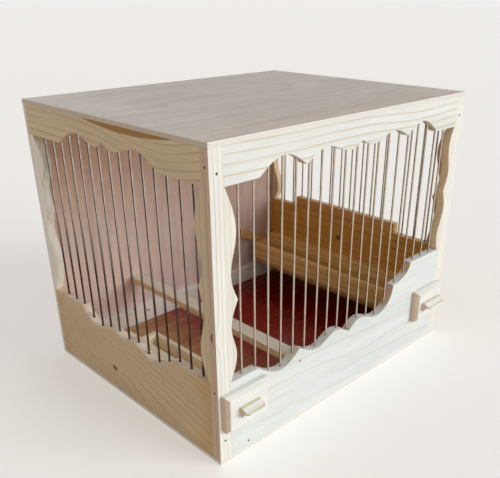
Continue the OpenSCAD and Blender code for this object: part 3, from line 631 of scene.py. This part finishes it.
def steel(name, light, dark, roughness, painted_highlight):
    """Drawn steel with fine lengthwise scratches, dull patches and maybe a painted highlight.

    The slant that places the painted highlight is below 0 on the sides that face left and
    back, and above 0 on those that face right and front.
    """
    g = Graph(name)
    place = g.place()
    point = [place["Z"], place["X"], place["Y"]]
    patch = g.noise(point, *PATCHES)
    scratch = g.noise(point, *SCRATCHES)
    colour = g.mix(g.level(patch, *PATCH_STEP), linear(light), linear(dark))
    # A painted highlight on the sides that face the lamp, the others left darker as painted shade
    if painted_highlight:
        slant = g.math("SUBTRACT", g.facing("X", 1), g.facing("Y", 1))
        mask = g.level(slant, *painted_highlight["slants"])
        if "heights" in painted_highlight:
            mask = g.math("MULTIPLY", mask, g.level(place["Z"], *painted_highlight["heights"]))
        painted_highlight_colour = g.shade(linear(painted_highlight["colour"]), g.level(patch, *PAINTED_HIGHLIGHT_TONES))
        colour = g.mix(mask, colour, painted_highlight_colour)
    g.feed(g.shader.inputs["Base Color"], g.shade(colour, g.level(scratch, *SCRATCH_TONES)))
    g.shader.inputs["Metallic"].default_value = 1.0
    dullest = roughness + PATCH_ROUGHNESS
    g.feed(g.shader.inputs["Roughness"], g.level(patch, *PATCH_GLOSS, roughness, dullest))
    g.bump(scratch, SCRATCH_DEPTH, SCRATCH_STRENGTH)
    return g.material


def apply_modifiers(piece):
    """Turns what a piece's modifiers make of it into its mesh."""
    depsgraph = bpy.context.evaluated_depsgraph_get()
    mesh = bpy.data.meshes.new_from_object(piece.evaluated_get(depsgraph))
    piece.modifiers.clear()
    piece.data = mesh


def softened(node, width):
    """A copy of a board with its long edges rounded over, as a plane leaves them."""
    bm = bmesh.new()
    bm.from_mesh(frame["nodes"][node].data)
    bmesh.ops.remove_doubles(bm, verts=bm.verts, dist=WELD)
    bmesh.ops.dissolve_limit(bm, angle_limit=FLAT_ANGLE, verts=bm.verts, edges=bm.edges)
    weights = bm.edges.layers.float.new("bevel_weight_edge")
    for edge in bm.edges:
        sharp = len(edge.link_faces) == 2 and edge.calc_face_angle(0.0) > EDGE_ANGLE
        edge[weights] = 1.0 if sharp and edge.calc_length() > SHORTEST_EDGE else 0.0
    mesh = bpy.data.meshes.new(node + "_planed")
    bm.to_mesh(mesh)
    bm.free()
    piece = bpy.data.objects.new(node + "_planed", mesh)
    bpy.context.scene.collection.objects.link(piece)

    bevel = piece.modifiers.new("edge", "BEVEL")
    bevel.width = width
    bevel.segments = EDGE_STEPS
    bevel.limit_method = "WEIGHT"
    bevel.miter_outer = "MITER_ARC"
    bevel.use_clamp_overlap = True
    apply_modifiers(piece)
    low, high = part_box(node)
    for vertex in piece.data.vertices:
        vertex.co = [min(max(at, a), b) for at, a, b in zip(vertex.co, low, high)]

    # Broad faces keep their own direction, and only the rounding between them turns
    for face in piece.data.polygons:
        face.use_smooth = True
    piece.data.set_sharp_from_angle(angle=FACET_ANGLE if node in FACETED else SMOOTH_ANGLE)
    weigh = piece.modifiers.new("shading", "WEIGHTED_NORMAL")
    weigh.keep_sharp = True
    weigh.weight = FACE_WEIGHT
    apply_modifiers(piece)
    return piece


slots = {row["node"]: row["material_slot"] for row in frame["record"]["subparts"]}
bodies = frame["record"]["behaviour"]["bodies"]
body_of_node = {node: body for body, nodes in bodies.items() for node in nodes}


def make_board(node, look, grain, edge, thickness_axis=None):
    """Puts a softened wooden piece in the place of a node."""
    low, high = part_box(node)
    piece = softened(node, edge)
    material = Wood(node, look, grain, (low + high) / 2)
    if thickness_axis:
        index = AXES.index(thickness_axis)
        material.add_plies(thickness_axis, low[index], high[index])
    piece.data.materials.clear()
    piece.data.materials.append(material.material)
    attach(piece, body_of_node[node])
    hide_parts(node)


def make_boards():
    for look, grain, nodes in BOARDS:
        for node in nodes:
            make_board(node, look, grain, BOARD_EDGE)
    for look, grain, thickness_axis, nodes in SHEETS:
        for node in nodes:
            make_board(node, look, grain, PLY_EDGE, thickness_axis)


def dress_metal():
    metals = {name: steel(name, *finish) for name, finish in STEELS.items()}
    for node, slot in slots.items():
        if slot in metals:
            materials = frame["nodes"][node].data.materials
            materials.clear()
            # The left row takes a darker copy of the steel, as painted shade
            materials.append(metals["dull_wire_steel" if node == PAINTED_SHADE_WIRES else slot])


def make_camera():
    data = bpy.data.cameras.new("camera")
    data.sensor_width = SENSOR_MM
    data.sensor_fit = "HORIZONTAL"
    data.lens = FOCAL_PX / IMAGE_W * SENSOR_MM
    data.shift_x = (IMAGE_W / 2 - AXIS_PX[0]) / IMAGE_W
    data.shift_y = (AXIS_PX[1] - IMAGE_H / 2) / IMAGE_W
    data.clip_start = NEAREST
    camera = bpy.data.objects.new("camera", data)
    camera.location = CAMERA_AT
    camera.rotation_euler = (math.radians(90 - PITCH), 0, -math.radians(HEADING))
    bpy.context.scene.collection.objects.link(camera)
    bpy.context.scene.camera = camera


def make_lamp():
    """A broad, soft light from the front and a little from the right."""
    data = bpy.data.lights.new("key", "SUN")
    data.energy = KEY_STRENGTH
    data.angle = math.radians(KEY_SPREAD)
    data.color = (1.0, 1.0, 1.0)
    light = bpy.data.objects.new("key", data)
    light.rotation_euler = (math.radians(90 - KEY_HEIGHT), 0, math.radians(KEY_HEADING))
    bpy.context.scene.collection.objects.link(light)


def seen(tree):
    """1 for what the camera sees straight, by reflection or through glass, otherwise 0."""
    path = tree.nodes.new("ShaderNodeLightPath")
    total = path.outputs["Is Camera Ray"]
    for ray in ("Is Glossy Ray", "Is Transmission Ray"):
        node = tree.nodes.new("ShaderNodeMath")
        node.operation = "ADD"
        node.use_clamp = True
        tree.links.new(total, node.inputs[0])
        tree.links.new(path.outputs[ray], node.inputs[1])
        total = node.outputs[0]
    return total


def make_sky():
    world = bpy.data.worlds.new("studio")
    world.use_nodes = True
    bpy.context.scene.world = world
    nodes = world.node_tree.nodes
    links = world.node_tree.links
    nodes.clear()
    out = nodes.new("ShaderNodeOutputWorld")
    mix = nodes.new("ShaderNodeMixShader")
    sky = nodes.new("ShaderNodeBackground")
    sky.inputs["Color"].default_value = (*SKY_COLOUR, 1.0)
    sky.inputs["Strength"].default_value = SKY_STRENGTH
    backdrop = nodes.new("ShaderNodeBackground")
    backdrop.inputs["Color"].default_value = (*BACKDROP, 1.0)
    links.new(seen(world.node_tree), mix.inputs[0])
    links.new(sky.outputs[0], mix.inputs[1])
    links.new(backdrop.outputs[0], mix.inputs[2])
    links.new(mix.outputs[0], out.inputs["Surface"])


def make_ground():
    bm = bmesh.new()
    bmesh.ops.create_grid(bm, x_segments=1, y_segments=1, size=GROUND_SIZE / 2)
    mesh = bpy.data.meshes.new("floor")
    bm.to_mesh(mesh)
    bm.free()
    floor = bpy.data.objects.new("floor", mesh)
    bpy.context.scene.collection.objects.link(floor)
    g = Graph("floor")
    place = g.place()
    patches = g.noise([place[axis] for axis in AXES], *GROUND_PATCHES)
    colour = g.shade((*GROUND_COLOUR, 1.0), g.level(patches, *GROUND_TONES))
    g.feed(g.shader.inputs["Base Color"], colour)
    g.shader.inputs["Roughness"].default_value = GROUND_ROUGHNESS
    g.shader.inputs["Emission Color"].default_value = (*GROUND_COLOUR, 1.0)
    g.feed(g.shader.inputs["Emission Strength"], g.math("MULTIPLY", seen(g.tree), GROUND_GLOW))
    mesh.materials.append(g.material)


bpy.context.scene.view_settings.view_transform = "Standard"
make_camera()
make_sky()
make_lamp()
make_ground()
make_boards()
dress_metal()
